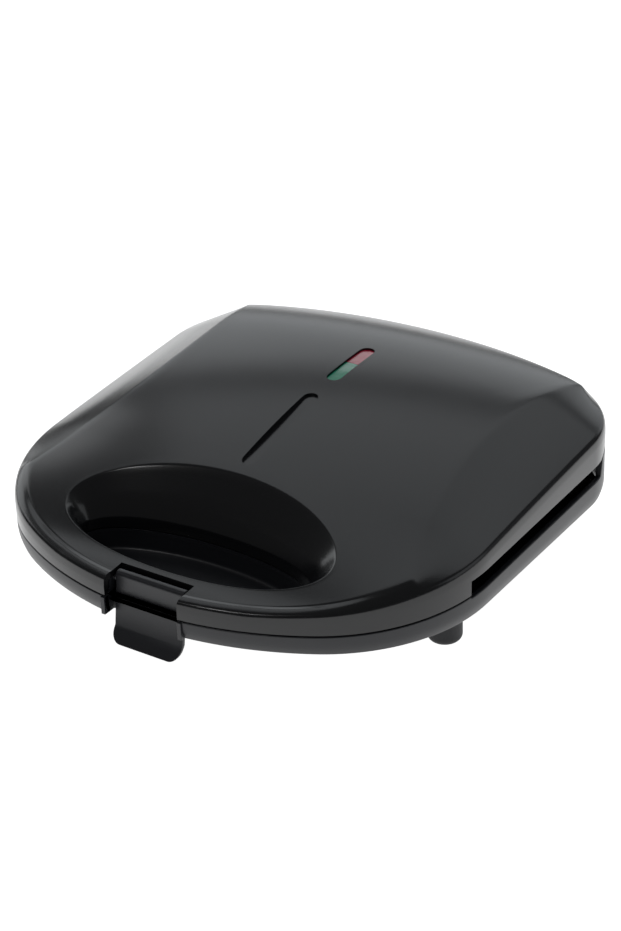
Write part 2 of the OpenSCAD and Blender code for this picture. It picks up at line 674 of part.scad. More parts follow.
// Outside of the pan, closed on top at height top
module pan_outside(top) {
    stack_solid([for (q = [[flat_inset, pan_z], [pan_inset + 1, band_bottom - 0.6], [pan_inset, pan_rim_z],
                           [pan_inset, top]]) pan_loop(q)]);
}
module pan_inside() {
    stack_solid([for (q = [[flat_inset + 1, pan_z + pan_t], [pan_inset + 3, band_bottom + 0.2],
                           [pan_inset + 2.2, pan_rim_z + 2]]) pan_loop(q)]);
}
vent_rows = 6;
vent_step = 9;
foot_places = [[-foot_x, at(foot_front_d)], [foot_x, at(foot_front_d)],
               [-foot_rear_x, y_rear - foot_rear_d], [foot_rear_x, y_rear - foot_rear_d]];
post_top = 18;
clamp_y = y_rear - 11;
clamp_x = 9;
block_x = 24;
block_y = y_rear - 22.5;
block_z = 12.4;
head_seat_z = boss_foot_z - 2;
module bottom_cover() {
    color(plastic) difference() {
        union() {
            difference() {
                pan_outside(pan_top_z);
                pan_inside();
            }
            intersection() {
                union() {
                    for (p = foot_places) translate([p[0], p[1], pan_z + 1])
                        cylinder(r = foot_dia / 2 + 1.6, h = foot_top + 1.8 - pan_z - 1, $fn = 48);
                    at_bosses(base_bosses) translate([0, 0, pan_z + 1])
                        cylinder(r = head_r + 2, h = boss_foot_z - pan_z - 1, $fn = 32);
                }
                pan_outside(pan_rim_z + 4);
            }
            for (s = [-1, 1]) translate([s * clamp_x, clamp_y, band_bottom - 6])
                cylinder(r = 3, h = post_top - band_bottom + 6, $fn = 32);
            translate([block_x + 4, block_y - 3, pan_z + 1]) cube([16, 6, block_z - pan_z - 1 - contact]);
        }
        for (p = foot_places) translate([p[0], p[1], -1])
            cylinder(r = foot_dia / 2 + 0.1, h = foot_top + 1.3, $fn = 48);
        translate([-notch_w / 2 - notch_wall - seat, y_front - 1, 0])
            cube([notch_w + 2 * (notch_wall + seat), notch_in + notch_wall + seat + 1, 30]);
        at_bosses(base_bosses) cylinder(r = hole_r, h = 20, $fn = 24);
        at_bosses(base_bosses) translate([0, 0, boss_foot_z]) cylinder(r = boss_r + seat, h = 20, $fn = 32);
        at_bosses(base_bosses) translate([0, 0, -1]) cylinder(r = head_r + 0.6, h = head_seat_z + 1, $fn = 32);
        for (s = [-1, 1]) translate([s * clamp_x, clamp_y, post_top - 8]) cylinder(r = pilot_r, h = 9, $fn = 24);
        for (i = [0:vent_rows - 1], s = [-1, 1])
            translate([s * 30, plate_y + (i - (vent_rows - 1) / 2) * vent_step, pan_z - 1])
                rotate([0, 0, 90]) translate([0, -15]) linear_extrude(5) stadium(3, 30);
    }
}

module foot(i) {
    color("dimgray") translate([foot_places[i][0], foot_places[i][1], 0]) rotate_extrude($fn = 64)
        difference() {
            square([foot_dia / 2, foot_top]);
            translate([foot_dia / 2 - 3, 0]) difference() {
                square(3);
                translate([0, 3]) circle(3, $fn = 48);
            }
        }
}
module foot_front_left() { foot(0); }
module foot_front_right() { foot(1); }
module foot_rear_left() { foot(2); }
module foot_rear_right() { foot(3); }

module bottom_screws() {
    color(steel) at_bosses(base_bosses) translate([0, 0, head_seat_z]) screw(8);
}

module cord_clamp() {
    color(plastic) difference() {
        translate([-clamp_x - 4, clamp_y - 4, 26.4]) cube([2 * clamp_x + 8, 8, 2.4]);
        for (s = [-1, 1]) translate([s * clamp_x, clamp_y, 20]) cylinder(r = hole_r, h = 20, $fn = 24);
    }
    color(plastic) for (s = [-1, 1]) translate([s * clamp_x, clamp_y, post_top]) difference() {
        translate([0, 0, contact]) cylinder(r = 3, h = 8.6, $fn = 32);
        translate([0, 0, -1]) cylinder(r = hole_r, h = 12, $fn = 24);
    }
}
module cord_clamp_screws() {
    color(steel) for (s = [-1, 1]) translate([s * clamp_x, clamp_y, 28.8]) mirror([0, 0, 1]) screw(16);
}

// Bimetal thermostat: a riveted stack of ceramic rings on a bracket, with two tab terminals
module thermostat() {
    color("ivory") translate([-8, plate_y, 0]) {
        for (s = [-1, 1]) translate([0, s * 5.5, lower_under - 6.2]) cylinder(r = 3.6, h = 6, $fn = 32);
        translate([-5, -11, lower_under - 0.8]) cube([10, 22, 0.7]);
        translate([-3, -14, lower_under - 5]) cube([6, 28, 0.8]);
    }
}
module thermal_fuse() {
    color("tan") translate([6, plate_y - 6, lower_under - 2.4]) rotate([0, 90, 0]) cylinder(r = 2.2, h = 12, $fn = 32);
}
module terminal_block() {
    color("ivory") difference() {
        translate([block_x, block_y - 4.5, block_z]) cube([24, 9, 8.4]);
        for (i = [0:2]) translate([block_x + 4 + 8 * i, block_y - 6, block_z + 4.4])
            rotate([-90, 0, 0]) cylinder(r = 1.6, h = 12, $fn = 24);
        for (i = [0:2]) translate([block_x + 4 + 8 * i, block_y, block_z + 4.4])
            cylinder(r = 1.7, h = 6, $fn = 24);
    }
}

pin_over = 1.6;
module hinge_pin(side) {
    half = lid_knuckle_w / 2 + knuckle_gap + base_knuckle_w;
    color(steel) translate([side * hinge_x, y_rear + hinge_back, hinge_z]) {
        bar_x(hinge_pin_r, -half - 0.2, half + 0.2);
        bar_x(hinge_pin_r + 1.2, -half - 0.2 - pin_over, -half - 0.2);
        bar_x(hinge_pin_r + 0.8, half + 0.2, half + 0.2 + pin_over);
    }
}
module hinge_pin_left() { hinge_pin(-1); }
module hinge_pin_right() { hinge_pin(1); }

// Space above the spine's arc, lowered by depth, for cuts that follow the lid's top
module above_spine(depth) {
    difference() {
        translate([-20, at(groove_d) - 10, top_z - 30]) cube([40, at(peak_d) - at(groove_d) + 30, 60]);
        translate([-30, at(peak_d), top_z - spine_r]) rotate([0, 90, 0])
            cylinder(r = spine_r - depth, h = 60, $fn = 1440);
    }
}
module groove() {
    intersection() {
        translate([0, at(groove_d), top_z - 30]) linear_extrude(60) stadium(window_w, groove_l);
        above_spine(groove_h);
    }
}

module lid_cover() {
    color(plastic) difference() {
        union() {
            ring_solid([for (s = loop) reverse(lid_section(s))]);
            for (p = lid_boss_feet, m = [-1, 1]) translate([m * p[0], p[1], p[2] + contact])
                cylinder(r = boss_r, h = lid_top(p[0], p[1]) - wall / 2 - p[2], $fn = 32);
            lid_knuckles();
        }
        groove();
        translate([0, at(window_d), top_z - 12]) linear_extrude(30) stadium(window_w, window_l);
        for (p = lid_boss_feet, m = [-1, 1]) translate([m * p[0], p[1], p[2] - 1])
            cylinder(r = pilot_r, h = 8, $fn = 24);
        pin_bores();
        translate([-notch_w / 2, y_front - 1, lid_low_z - 1]) cube([notch_w, notch_back + 1, 20]);
    }
}

// Cup that lifts the front screw seats of the frame above the parting line
cup_floor = 2;
lug_w = 3.6;
lug_top = latch_z + latch_pin_r + pin_fit + 0.45;
lug_front = 4.9;
module lid_frame() {
    color(plastic) difference() {
        union() {
            translate([0, 0, lid_low_z]) linear_extrude(front_deck_t) difference() {
                polygon(outline(wall + seat));
                well_shape(wall + seat);
                translate([-body_w, at(slot_d) - 1]) square([2 * body_w, body_d]);
                translate([-notch_w / 2, y_front - 1]) square([notch_w, notch_back + 1]);
            }
            at_bosses([lid_bosses[0]]) translate([0, 0, lid_low_z]) cylinder(r = head_r + 1.8, h = cup_h, $fn = 32);
            for (m = [0, 1]) mirror([m, 0, 0]) translate([notch_w / 2 + 0.1, at(lug_front), lid_low_z])
                cube([lug_w, notch_back - 0.6 - lug_front, lug_top - lid_low_z]);
            intersection() {
                translate([0, 0, lid_low_z]) linear_extrude(lid_deck_z + deck_t - lid_low_z) polygon(outline(wall + 2));
                translate([-body_w, at(slot_d) - 3.4, 0]) cube([2 * body_w, 2, 60]);
            }
            translate([0, 0, lid_deck_z]) linear_extrude(deck_t) difference() {
                polygon(outline(wall + 2.6));
                translate([-body_w, at(slot_d) - 2 - body_d]) square([2 * body_w, body_d]);
            }
        }
        translate([0, 0, lid_deck_z - 2]) plate_hole(1);
        at_studs() translate([0, 0, lid_deck_z - 1]) cylinder(r = hole_r, h = deck_t + 2, $fn = 24);
        at_bosses(lid_bosses) translate([0, 0, lid_low_z - 1]) cylinder(r = hole_r, h = 20, $fn = 24);
        at_bosses([lid_bosses[0]]) translate([0, 0, lid_low_z - 1]) cylinder(r = head_r + 0.5, h = cup_h - cup_floor + 1, $fn = 32);
        translate([0, at(latch_d), latch_z]) bar_x(latch_pin_r + pin_fit, -latch_pin_half - 0.1, latch_pin_half + 0.1);
    }
}
module frame_screws() {
    color(steel) {
        at_bosses([lid_bosses[0]]) translate([0, 0, lid_low_z + cup_h - cup_floor]) screw(8);
        at_bosses([lid_bosses[1]]) translate([0, 0, lid_deck_z]) screw(8);
    }
}

module lamp_holder() {
    color("white") translate([0, at(window_d) - 3, 0]) difference() {
        translate([-7, 0, upper_tray_z + seat]) cube([14, window_l + 6, 13]);
        translate([-5.6, 1.4, upper_tray_z + seat + 1.4]) cube([11.2, window_l + 3.2, 20]);
    }
}
module lamp(y) {
    translate([0, y, upper_tray_z + seat + 1.4 + 2.6]) rotate([-90, 0, 0]) cylinder(r = 2.5, h = 11, $fn = 32);
}
module power_lamp() { color("orange") lamp(at(window_d) + window_l - 14); }
module ready_lamp() { color("orange") lamp(at(window_d) + 3); }

red_share = 0.45;
lens_drop = 0.9;
lens_fit = 0.2;
module lens(y0, y1, flange0, flange1) {
    difference() {
        union() {
            intersection() {
                translate([0, at(window_d) + lens_fit, top_z - 8]) linear_extrude(20)
                    stadium(window_w - 2 * lens_fit, window_l - 2 * lens_fit);
                translate([-10, y0, 0]) cube([20, y1 - y0, 100]);
            }
            translate([-5.2, flange0, spine(flange0) - wall - seat - 2]) cube([10.4, flange1 - flange0, 1.2]);
        }
        above_spine(lens_drop);
    }
}
lens_split = at(window_d) + window_l * (1 - red_share);
module green_lens() {
    color("seagreen") lens(at(window_d) - 1, lens_split - 0.1, at(window_d) - 1, lens_split - 0.1);
}
module red_lens() {
    color("crimson") lens(lens_split + 0.1, at(window_d) + window_l + 1, lens_split + 0.1, at(window_d) + window_l + 1);
}

// Side profile of the clip in the y-z plane: an eye on the pin, a roof, a face, a hook and a flared tab
clip_bend = 2.2;
tab_r = 5;
latch_pin_half = clip_w / 2 + 4;
function arc(c, r, angles) = [for (a = angles) c + r * [cos(a), sin(a)]];
module clip_profile() {
    eye = [at(latch_d), latch_z];
    face = at(clip_in);
    fold = at(face_d(fold_z));
    hook = at(face_d(catch_z)) + clip_t;
    hook_top = catch_z - seat;
    bend_c = [face + clip_bend, clip_top - clip_bend];
    polygon(concat(
        arc([eye[0], clip_top - eye_r], eye_r, [90:-10:0]),
        arc(eye, eye_r, [0:-10:-100]),
        [[at(face_d(latch_z - eye_r - 1.5)) + clip_t, latch_z - eye_r - 1.5],
         [hook, hook_top], [hook + hook_reach - 0.6, hook_top], [hook + hook_reach, hook_top - 0.5],
         [at(face_d(hook_top - 2.6)) + clip_t, hook_top - 2.6],
         [fold + clip_t, fold_z], [fold + clip_t - tab_reach, fold_z - tab_h],
         [fold - tab_reach, fold_z - tab_h], [fold, fold_z], [face, latch_z]],
        arc(bend_c, clip_bend, [180:-10:90])));
}
module latch_clip() {
    color(plastic) difference() {
        rotate([90, 0, 90]) translate([0, 0, -clip_w / 2]) linear_extrude(clip_w) clip_profile();
        translate([0, at(latch_d), latch_z]) bar_x(latch_pin_r + pin_fit, -clip_w, clip_w);
        for (m = [0, 1]) mirror([m, 0, 0])
            translate([clip_w / 2 - tab_r, y_front - 20, fold_z - tab_h + tab_r]) rotate([-90, 0, 0])
                linear_extrude(40) difference() {
                    square(tab_r + 1);
                    circle(tab_r, $fn = 64);
                }
        for (m = [0, 1]) mirror([m, 0, 0])
            translate([catch_w / 2 - 2, at(face_d(catch_z - 3)) + clip_t + 0.1, catch_z - 3.5]) cube([clip_w, 4, 4]);
    }
}
module latch_pin() {
    color(steel) translate([0, at(latch_d), latch_z]) bar_x(latch_pin_r, -latch_pin_half, latch_pin_half);
}

base_housing();
bottom_cover();
lower_plate();
lower_heater();
lower_heater_clamp();
lower_reflector();
lower_plate_screws();
thermostat();
thermal_fuse();
terminal_block();
foot_front_left();
foot_front_right();
foot_rear_left();
foot_rear_right();
bottom_screws();
cord_bushing();
cord_clamp();
cord_clamp_screws();
hinge_pin_left();
hinge_pin_right();
lid_cover();
lid_frame();
upper_plate();
upper_heater();
upper_heater_clamp();
upper_reflector();
upper_plate_screws();
frame_screws();
lamp_holder();
power_lamp();
ready_lamp();
red_lens();
green_lens();
latch_clip();
latch_pin();
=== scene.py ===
import bmesh
import bpy
import math
import numpy as np
from mathutils import Matrix, Vector


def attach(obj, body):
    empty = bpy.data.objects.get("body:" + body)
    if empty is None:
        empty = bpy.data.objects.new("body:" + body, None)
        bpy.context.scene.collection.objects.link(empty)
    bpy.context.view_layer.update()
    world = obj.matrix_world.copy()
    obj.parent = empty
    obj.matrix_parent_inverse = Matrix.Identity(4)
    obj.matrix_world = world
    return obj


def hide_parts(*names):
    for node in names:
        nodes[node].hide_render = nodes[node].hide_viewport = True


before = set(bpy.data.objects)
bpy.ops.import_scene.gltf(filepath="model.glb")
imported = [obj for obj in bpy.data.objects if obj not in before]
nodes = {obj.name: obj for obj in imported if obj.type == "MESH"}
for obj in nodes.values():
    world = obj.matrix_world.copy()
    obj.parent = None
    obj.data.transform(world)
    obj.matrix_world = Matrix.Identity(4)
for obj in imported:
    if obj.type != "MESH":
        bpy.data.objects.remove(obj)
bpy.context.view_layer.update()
scene = bpy.context.scene
scene.view_settings.view_transform = "Standard"

# Camera, from vanishing lines and outlines: azimuth, elevation, roll, focal length in pixels
AZ, EL, ROLL = math.radians(34.56), math.radians(28.26), math.radians(-2.30)
F_PX, PP = 2127.0, (311.4, 465.5)
EYE = Vector((0.4792, -0.6362 - 0.0534, 0.4603 + 0.024))
IMG_W, IMG_H = 621, 931


def make_camera():
    right = Vector((math.cos(AZ), math.sin(AZ), 0))
    back = Vector((math.sin(AZ) * math.cos(EL), -math.cos(AZ) * math.cos(EL), math.sin(EL)))
    up = back.cross(right)
    r2 = right * math.cos(ROLL) + up * math.sin(ROLL)
    u2 = up * math.cos(ROLL) - right * math.sin(ROLL)
    data = bpy.data.cameras.new("camera")
    data.sensor_fit = "VERTICAL"
    data.sensor_height = 36.0
    data.lens = F_PX * 36.0 / IMG_H
    data.shift_x = (IMG_W / 2 - PP[0]) / IMG_H
    data.shift_y = (PP[1] - IMG_H / 2) / IMG_H
    data.clip_start, data.clip_end = 0.01, 50
    obj = bpy.data.objects.new("camera", data)
    scene.collection.objects.link(obj)
    m = Matrix((r2, u2, back)).transposed().to_4x4()
    m.translation = EYE
    obj.matrix_world = m
    scene.camera = obj


# ---------- sizes, in millimetres, as in the part's source ----------
BODY_W, Y_FRONT, Y_REAR = 230.0, -122.3, 111.7
PARTING_Z, PART_RISE, GAP = 23.4, 0.03, 0.6
BAND_BOTTOM, WALL, DRAFT = 14.7, 2.5, 1.3
FRONT_R, FRONT_CORNER_R, REAR_R, REAR_CORNER_R = 157.5, 77.5, 305.0, 42.0
TOP_Z, PEAK_D, SPINE_R, SPINE_REAR_R, CROSS_R = 67.0, 179.0, 395.0, 145.0, 714.0
RIM_FRONT_Z, RIM_LIFT, RIM_SLOPE = 32.1, 4.3, 0.066
CREASE_X, CREASE_D, CREASE_SPREAD = 83.0, 145.0, 520.0
FINGER_D, FINGER_A, FINGER_B, FINGER_BOW = 41.6, 65.5, 26.1, 2.8
WELL_A, WELL_B, LEDGE_Z, WELL_FLOOR_Z = 58.0, 20.2, 28.5, 13.0
SLOT_D, POST_D, SLOT_TOP, SLOT_LOW, SLOT_RISE = 74.0, 189.0, 32.6, 24.6, 2.0
POST_Z, LID_REAR_LOW = 35.6, 39.0
LID_LOW_Z, BASE_TOP_Z = PARTING_Z + GAP / 2, PARTING_Z - GAP / 2
NOTCH_HALF, NOTCH_BACK, NOTCH_IN = 18.7, 13.8, 11.9
SLIT_W, WINDOW_D, WINDOW_L, WINDOW_CUT = 7.4, 146.0, 34.6, 14
GROOVE_D, GROOVE_L, GROOVE_CUT = 78.6, 54.6, 1.2
MM = 0.001


def at(d):
    return Y_FRONT + d


def outline(inset, n=40):
    """Plan points, counter-clockwise from the front centre, closed, without the repeated last point."""
    cf = np.array([0, Y_FRONT + FRONT_R])
    cx = BODY_W / 2 - FRONT_CORNER_R
    cfc = np.array([cx, cf[1] - math.sqrt((FRONT_R - FRONT_CORNER_R) ** 2 - cx ** 2)])
    cr = np.array([0, Y_REAR - REAR_R])
    cx = BODY_W / 2 - REAR_CORNER_R
    crc = np.array([cx, cr[1] + math.sqrt((REAR_R - REAR_CORNER_R) ** 2 - cx ** 2)])
    af = math.atan2(cfc[1] - cf[1], cfc[0])
    ar = math.atan2(crc[1] - cr[1], crc[0])

    def arc(c, r, a0, a1, k):
        t = np.linspace(a0, a1, k, endpoint=False)
        return c + (r - inset) * np.stack([np.cos(t), np.sin(t)], 1)
    a_slot = math.asin((at(SLOT_D) - cfc[1]) / FRONT_CORNER_R)
    eps = math.radians(0.1)
    pieces = [arc(cf, FRONT_R, -math.pi / 2, af, n),
              arc(cfc, FRONT_CORNER_R, af, a_slot - eps, n),
              arc(cfc, FRONT_CORNER_R, a_slot - eps, a_slot, 1),
              arc(cfc, FRONT_CORNER_R, a_slot, 0, 12)]
    ys = np.linspace(cfc[1], crc[1], 16, endpoint=False)
    pieces.append(np.stack([np.full(16, BODY_W / 2 - inset), ys], 1))
    pieces.append(arc(crc, REAR_CORNER_R, 0, ar, 36))
    pieces.append(arc(cr, REAR_R, ar, math.pi / 2, 24))
    pieces.append(np.array([[0, Y_REAR - inset]]))
    right = np.concatenate(pieces)
    left = right[::-1][1:-1] * np.array([-1, 1])
    return np.concatenate([right, left])


def smooth(a, b, x):
    t = np.clip((x - a) / (b - a), 0, 1)
    return t * t * (3 - 2 * t)


def spine(y):
    d = y - at(PEAK_D)
    r = np.where(d < 0, SPINE_R, SPINE_REAR_R)
    return TOP_Z - (r - np.sqrt(r * r - d * d))


def lid_top(x, y):
    share = 0.3 + 0.7 * smooth(at(15), at(80), y)
    a = spine(y) - (CROSS_R - np.sqrt(CROSS_R ** 2 - x * x)) * share
    b = RIM_FRONT_Z + 0.2
    return (a + b + np.sqrt((a - b) ** 2 + 9)) / 2


def rim_z(y):
    d = np.maximum(y - at(9), 0)
    return RIM_FRONT_Z + RIM_SLOPE * d + RIM_LIFT * (1 - np.exp(-d / 43))


def lid_low(y):
    sy, py = at(SLOT_D), at(POST_D)
    v = np.where(y < sy - 0.05, LID_LOW_Z + PART_RISE * (y - Y_FRONT), SLOT_TOP + SLOT_RISE * (y - sy) / (py - sy))
    s = SLOT_TOP + SLOT_RISE
    return np.where(y > py, np.minimum(LID_REAR_LOW, s + (LID_REAR_LOW - s) * (y - py) / 11), v)


def base_high(y):
    sy, py = at(SLOT_D), at(POST_D)
    v = np.where(y < sy - 0.05, BASE_TOP_Z + PART_RISE * (y - Y_FRONT), SLOT_LOW + SLOT_RISE * (y - sy) / (py - sy))
    s = SLOT_LOW + SLOT_RISE
    return np.where(y > py, np.minimum(POST_Z, s + (POST_Z - s) * (y - py) / 3), v)


def crease_points(band=6.0):
    p = outline(band)
    lim = CREASE_X + (p[:, 1] - at(CREASE_D)) ** 2 / CREASE_SPREAD
    x = np.sign(p[:, 0]) * np.minimum(np.abs(p[:, 0]), lim)
    return np.stack([x, p[:, 1]], 1)


FINGER_Y = at(FINGER_D)
WELL_Y = FINGER_Y - (FINGER_B - WELL_B) * 0.6


def well_points(a, b, grow, top):
    p = outline(6.0)
    q = np.arctan2((p[:, 1] - FINGER_Y) / b, p[:, 0] / a)
    x = (a + grow) * np.cos(q)
    bow = FINGER_BOW * (1 - (x / (a + grow)) ** 2) if top else 0
    return np.stack([x, FINGER_Y - (FINGER_B - b) * 0.6 + (b + grow) * np.sin(q) + bow], 1)


def lift(p, z):
    return np.column_stack([p, np.broadcast_to(z, len(p))])


def rounded(ctrl, radii, k=6):
    """Rows of points with each listed corner replaced by a curve; ctrl is (m, n, 3)."""
    out = []
    m = len(ctrl)
    for i in range(m):
        r = radii.get(i, 0)
        if not np.any(r):
            out.append(ctrl[i])
            continue
        a, b = ctrl[(i - 1) % m] - ctrl[i], ctrl[(i + 1) % m] - ctrl[i]
        la, lb = np.linalg.norm(a, axis=1)[:, None], np.linalg.norm(b, axis=1)[:, None]
        rr = np.minimum(np.broadcast_to(np.asarray(r, float).reshape(-1, 1), la.shape), 0.48 * np.minimum(la, lb))
        p, q = ctrl[i] + a / la * rr, ctrl[i] + b / lb * rr
        for j in range(k + 1):
            t = j / k
            out.append((1 - t) ** 2 * p + 2 * t * (1 - t) * ctrl[i] + t * t * q)
    return np.array(out)


def grid_mesh(name, rows, closed_rows=True):
    """Mesh between rows of points that all run round the object."""
    m, n = rows.shape[:2]
    verts = (rows.reshape(-1, 3) * MM).tolist()
    faces = []
    for i in range(m if closed_rows else m - 1):
        i2 = (i + 1) % m
        for j in range(n):
            j2 = (j + 1) % n
            faces.append((i * n + j, i * n + j2, i2 * n + j2, i2 * n + j))
    mesh = bpy.data.meshes.new(name)
    mesh.from_pydata(verts, [], faces)
    mesh.validate()
    obj = bpy.data.objects.new(name, mesh)
    scene.collection.objects.link(obj)
    return obj


def face_outward(mesh, merge=False):
    bm = bmesh.new()
    bm.from_mesh(mesh)
    if merge:
        bmesh.ops.remove_doubles(bm, verts=bm.verts, dist=1e-6)
    bmesh.ops.recalc_face_normals(bm, faces=bm.faces)
    bm.to_mesh(mesh)
    bm.free()


def finish_mesh(obj, material, angle=35, bevel=0.0):
    """One material, merged points, smooth shading with sharp edges by angle, and a small bevel if asked."""
    mesh = obj.data
    mesh.materials.clear()
    mesh.materials.append(material)
    face_outward(mesh, merge=True)
    for p in mesh.polygons:
        p.use_smooth = True
    mesh.set_sharp_from_angle(angle=math.radians(angle))
    if bevel:
        mod = obj.modifiers.new("edges", "BEVEL")
        mod.width = bevel * MM
        mod.segments = 3
        mod.limit_method = "ANGLE"
        mod.angle_limit = math.radians(40)
        mod.harden_normals = True


def cut(obj, *tools):
    """Boolean difference, applied, with the tools removed."""
    for t in tools:
        mod = obj.modifiers.new("cut", "BOOLEAN")
        mod.operation = "DIFFERENCE"
        mod.solver = "EXACT"
        mod.object = t
    dg = bpy.context.evaluated_depsgraph_get()
    mesh = bpy.data.meshes.new_from_object(obj.evaluated_get(dg))
    obj.modifiers.clear()
    obj.data = mesh
    for t in tools:
        bpy.data.objects.remove(t)


def prism(name, loop, z0, z1, axis="z"):
    """Extruded closed loop; axis x takes the loop in the y-z plane."""
    loop = np.asarray(loop, float)
    n = len(loop)
    if axis == "z":
        rows = np.array([lift(loop, z0), lift(loop, z1)])
    else:
        rows = np.array([np.column_stack([np.full(n, x), loop]) for x in (z0, z1)])
    mesh = bpy.data.meshes.new(name)
    faces = [(j, (j + 1) % n, n + (j + 1) % n, n + j) for j in range(n)]
    faces += [tuple(range(n))[::-1], tuple(range(n, 2 * n))]
    mesh.from_pydata((rows.reshape(-1, 3) * MM).tolist(), [], faces)
    obj = bpy.data.objects.new(name, mesh)
    scene.collection.objects.link(obj)
    face_outward(mesh)
    return obj


def stadium(w, d, length, n=16):
    r = w / 2
    t = np.linspace(0, math.pi, n)
    y0, y1 = at(d) + r, at(d) + length - r
    top = np.stack([r * np.cos(t), y1 + r * np.sin(t)], 1)
    low = np.stack([-r * np.cos(t), y0 - r * np.sin(t)], 1)
    return np.concatenate([top, low])


def spine_tool(name, loop, depth, up=12):
    """Cutter whose floor follows the lid's spine at the given depth."""
    loop = np.asarray(loop, float)
    rows = np.array([lift(loop, spine(loop[:, 1]) - depth), lift(loop, spine(loop[:, 1]) + up)])
    obj = prism(name, loop, 0, 1)
    n = len(loop)
    for j in range(n):
        obj.data.vertices[j].co.z = rows[0][j][2] * MM
        obj.data.vertices[n + j].co.z = rows[1][j][2] * MM
    return obj


# ---------- materials ----------
def noise(nt, co, scale, detail):
    n = nt.nodes.new("ShaderNodeTexNoise")
    n.inputs["Scale"].default_value = scale
    n.inputs["Detail"].default_value = detail
    nt.links.new(co.outputs["Object"], n.inputs["Vector"])
    return n


def material(name, colour, rough, metal=0.0, grain=0.0, grain_scale=900.0, mottle=0.0, coat=0.0, spec=0.5,
             transmission=0.0, rough_var=0.0):
    mat = bpy.data.materials.new(name)
    mat.use_nodes = True
    nt = mat.node_tree
    b = nt.nodes["Principled BSDF"]
    b.inputs["Roughness"].default_value = rough
    b.inputs["Metallic"].default_value = metal
    b.inputs["Specular IOR Level"].default_value = spec
    b.inputs["Coat Weight"].default_value = coat
    b.inputs["Coat Roughness"].default_value = 0.06
    b.inputs["Transmission Weight"].default_value = transmission
    b.inputs["Base Color"].default_value = (*colour, 1)
    co = nt.nodes.new("ShaderNodeTexCoord")
    if mottle:
        n = noise(nt, co, 60, 4)
        r = nt.nodes.new("ShaderNodeValToRGB")
        r.color_ramp.elements[0].color = (*[c * (1 - mottle) for c in colour], 1)
        r.color_ramp.elements[1].color = (*[min(1, c * (1 + mottle)) for c in colour], 1)
        nt.links.new(n.outputs["Fac"], r.inputs["Fac"])
        nt.links.new(r.outputs["Color"], b.inputs["Base Color"])
    if rough_var:
        n = noise(nt, co, 35, 6)
        mr = nt.nodes.new("ShaderNodeMapRange")
        mr.inputs["To Min"].default_value = rough * (1 - rough_var)
        mr.inputs["To Max"].default_value = rough * (1 + rough_var)
        nt.links.new(n.outputs["Fac"], mr.inputs["Value"])
        nt.links.new(mr.outputs["Result"], b.inputs["Roughness"])
    if grain:
        n = noise(nt, co, grain_scale, 3)
        bump = nt.nodes.new("ShaderNodeBump")
        bump.inputs["Strength"].default_value = grain
        bump.inputs["Distance"].default_value = 0.0004
        nt.links.new(n.outputs["Fac"], bump.inputs["Height"])
        nt.links.new(bump.outputs["Normal"], b.inputs["Normal"])
    return mat


gloss = material("gloss_black_plastic", (0.010, 0.0105, 0.012), 0.2, mottle=0.05, rough_var=0.1, grain=0.03,
                 grain_scale=1400)
satin = material("satin_black_plastic", (0.020, 0.0215, 0.026), 0.36, mottle=0.08, rough_var=0.12, grain=0.12,
                 grain_scale=1600)
clip_black = material("clip_black_plastic", (0.018, 0.019, 0.024), 0.34, mottle=0.06, grain=0.08, grain_scale=1500)
nonstick = material("nonstick_coating", (0.022, 0.022, 0.023), 0.42, mottle=0.35, rough_var=0.2, grain=0.35,
                    grain_scale=700, spec=0.6)
steel = material("sheet_steel", (0.56, 0.57, 0.58), 0.3, metal=1.0, mottle=0.08, rough_var=0.3, grain=0.05,
                 grain_scale=300)
sheath = material("heater_sheath", (0.30, 0.28, 0.26), 0.42, metal=1.0, mottle=0.25, rough_var=0.2, grain=0.1,
                  grain_scale=500)
rubber = material("foot_rubber", (0.030, 0.031, 0.034), 0.62, mottle=0.1, grain=0.25, grain_scale=1200)
ceramic = material("ceramic", (0.72, 0.68, 0.58), 0.45, mottle=0.05, grain=0.08, grain_scale=600)
white_plastic = material("white_plastic", (0.75, 0.74, 0.70), 0.4, mottle=0.03, grain=0.05)
amber = material("lamp_glass", (0.75, 0.30, 0.08), 0.12, mottle=0.1, coat=0.3)
red = material("red_lens", (0.50, 0.010, 0.045), 0.2, mottle=0.45, grain=0.5, grain_scale=420, coat=0.8)
green = material("green_lens", (0.008, 0.30, 0.17), 0.2, mottle=0.45, grain=0.5, grain_scale=420, coat=0.8)

FINISH = {
    "bottom_cover": satin, "lower_plate": nonstick, "upper_plate": nonstick, "lower_heater": sheath,
    "upper_heater": sheath, "lower_heater_clamp": steel, "upper_heater_clamp": steel, "lower_reflector": steel,
    "upper_reflector": steel, "lower_plate_screws": steel, "upper_plate_screws": steel, "frame_screws": steel,
    "bottom_screws": steel, "cord_clamp_screws": steel, "thermostat": ceramic, "thermal_fuse": amber,
    "terminal_block": ceramic, "foot_front_left": rubber, "foot_front_right": rubber, "foot_rear_left": rubber,
    "foot_rear_right": rubber, "cord_bushing": satin, "cord_clamp": satin, "hinge_pin_left": steel,
    "hinge_pin_right": steel, "lid_frame": satin, "lamp_holder": white_plastic, "power_lamp": amber,
    "ready_lamp": amber, "red_lens": red, "green_lens": green, "latch_clip": clip_black, "latch_pin": steel,
    "lid_cover": gloss, "base_housing": satin}
for name, obj in nodes.items():
    obj.data.materials.clear()
    obj.data.materials.append(FINISH[name])


